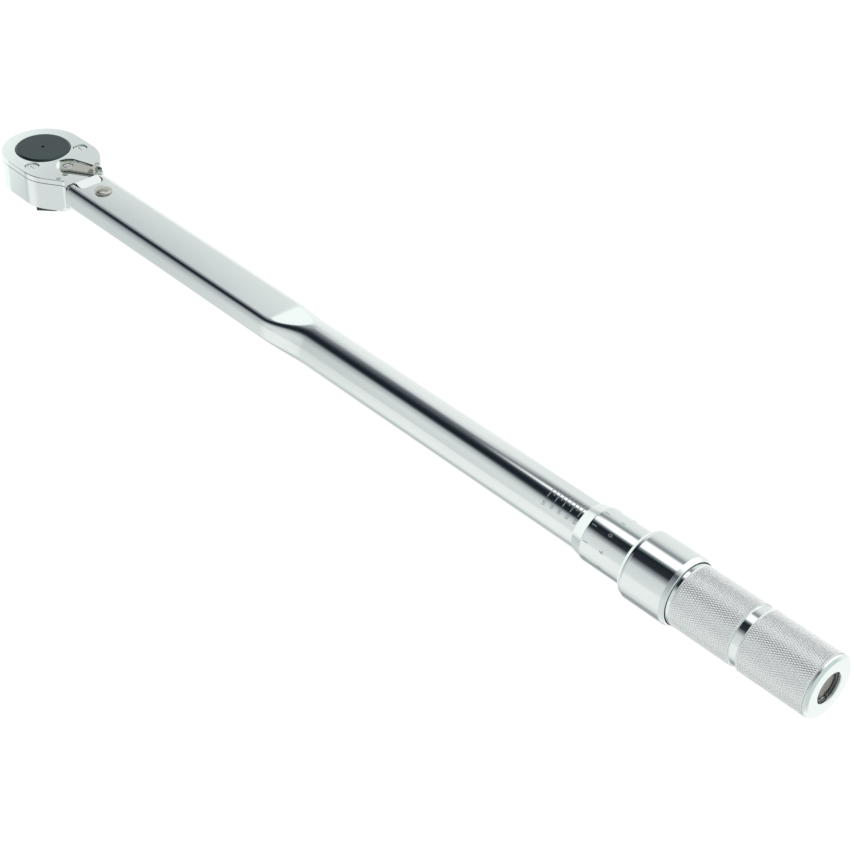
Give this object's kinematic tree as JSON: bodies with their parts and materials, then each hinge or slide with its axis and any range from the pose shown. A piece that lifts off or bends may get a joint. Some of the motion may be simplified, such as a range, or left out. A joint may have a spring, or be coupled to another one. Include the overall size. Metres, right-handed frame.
{
  "type": "torque wrench",
  "caption": "Click torque wrench: reversible ratchet head with a square drive, steel tube, threaded thimble and knurled grip with a pull-back lock sleeve.",
  "frame": {"origin": "centre of the square drive's end face", "axes": "+X along the tube towards the grip, +Z from the drive's end up through the head"},
  "size_m": [0.6249, 0.0498, 0.0489],
  "materials": {
    "polished_chrome": "mirror-bright chrome plating",
    "satin_chrome": "satin chrome, knurled on the grip",
    "black_oxide": "black oxide, smooth",
    "nickel": "warm grey nickel",
    "plain_steel": "ground steel, lightly oiled",
    "spring_steel": "dark oil-tempered spring steel",
    "bronze": "bearing bronze",
    "plug_grey": "grey-brown plug"
  },
  "bodies": {
    "tube": {"tube": "polished_chrome", "pivot_pin": "nickel", "main_spring": "spring_steel", "lead_nut": "bronze", "nut_pin": "plain_steel", "guide_bush": "bronze"},
    "head": {"head_body": "polished_chrome", "cover_plate": "polished_chrome", "cover_screw_1": "satin_chrome", "cover_screw_2": "satin_chrome", "dowel_pin_1": "plain_steel", "dowel_pin_2": "plain_steel", "pawl_pin": "plain_steel", "drive_bush": "bronze"},
    "drive": {"drive_gear": "black_oxide"},
    "detent": {"detent_ball": "plain_steel", "detent_spring": "spring_steel"},
    "lever": {"reverse_lever": "nickel", "selector_shaft": "plain_steel", "selector_spring": "spring_steel"},
    "selector": {"selector_plunger": "plain_steel"},
    "pawl": {"pawl": "plain_steel"},
    "plunger": {"plunger": "plain_steel"},
    "tilt_block": {"tilt_block": "plain_steel"},
    "spring_seat": {"spring_seat": "plain_steel", "thrust_ball": "plain_steel"},
    "handle": {"adjusting_screw": "plain_steel", "thimble": "polished_chrome", "grip": "satin_chrome", "lock_nut": "plain_steel", "end_plug": "plug_grey", "snap_ring": "spring_steel", "lock_spring": "spring_steel"},
    "lock_sleeve": {"lock_sleeve": "polished_chrome"},
    "lock_ball_1": {"lock_ball_1": "plain_steel"},
    "lock_ball_2": {"lock_ball_2": "plain_steel"}
  },
  "joints": [
    {"name": "head_click", "type": "hinge", "parent": "tube", "child": "head", "pos_m": [0.0622, 0, 0.0306], "axis": [0, 0, 1], "range_deg": [0, 1.5], "stiffness_Nm_per_rad": 400},
    {"name": "plunger_slide", "type": "slide", "parent": "tube", "child": "plunger", "axis": [1, 0, 0], "range_m": [0, 0.0022], "deforming": ["main_spring"]},
    {"name": "tilt_rock", "type": "hinge", "parent": "plunger", "child": "tilt_block", "pos_m": [0.2625, 0, 0.0306], "axis": [0, 0, 1], "range_deg": [-30, 0]},
    {"name": "drive_spin", "type": "hinge", "parent": "head", "child": "drive", "pos_m": [0, 0, 0.0306], "axis": [0, 0, 1], "continuous": true},
    {"name": "detent_press", "type": "slide", "parent": "drive", "child": "detent", "axis": [0.7071, -0.7071, 0], "range_m": [0, 0.0008], "stiffness_N_per_m": 300},
    {"name": "lever_flip", "type": "hinge", "parent": "head", "child": "lever", "pos_m": [0.0263, 0, 0.0306], "axis": [0, 0, 1], "range_deg": [-60, 0]},
    {"name": "selector_press", "type": "slide", "parent": "lever", "child": "selector", "axis": [0.866, 0.5, 0], "range_m": [0, 0.0006], "stiffness_N_per_m": 300, "deforming": ["selector_spring"]},
    {"name": "pawl_rock", "type": "hinge", "parent": "head", "child": "pawl", "pos_m": [0.0208, 0, 0.0306], "axis": [0, 0, 1], "range_deg": [0, 15]},
    {"name": "seat_slide", "type": "slide", "parent": "tube", "child": "spring_seat", "axis": [-1, 0, 0], "range_m": [-0.0226, 0.0121], "deforming": ["main_spring"]},
    {"name": "handle_turn", "type": "hinge", "parent": "spring_seat", "child": "handle", "pos_m": [0.5, 0, 0.0306], "axis": [-1, 0, 0], "range_deg": [-3240, 1728]},
    {"name": "sleeve_pull", "type": "slide", "parent": "handle", "child": "lock_sleeve", "axis": [1, 0, 0], "range_m": [0, 0.005], "stiffness_N_per_m": 800, "deforming": ["lock_spring"]},
    {"name": "ball_1_lift", "type": "slide", "parent": "handle", "child": "lock_ball_1", "axis": [0, 1, 0], "range_m": [0, 0.0009]},
    {"name": "ball_2_lift", "type": "slide", "parent": "handle", "child": "lock_ball_2", "axis": [0, -1, 0], "range_m": [0, 0.0009]}
  ],
  "couplings": [
    {"joint": "plunger_slide", "follows": "head_click", "m_per_rad": 0.084},
    {"joint": "tilt_rock", "follows": "head_click", "ratio": -20},
    {"joint": "pawl_rock", "follows": "lever_flip", "ratio": -0.25},
    {"joint": "seat_slide", "follows": "handle_turn", "m_per_rad": 0.00039789},
    {"joint": "ball_1_lift", "follows": "sleeve_pull", "ratio": 0.18},
    {"joint": "ball_2_lift", "follows": "sleeve_pull", "ratio": 0.18}
  ]
}
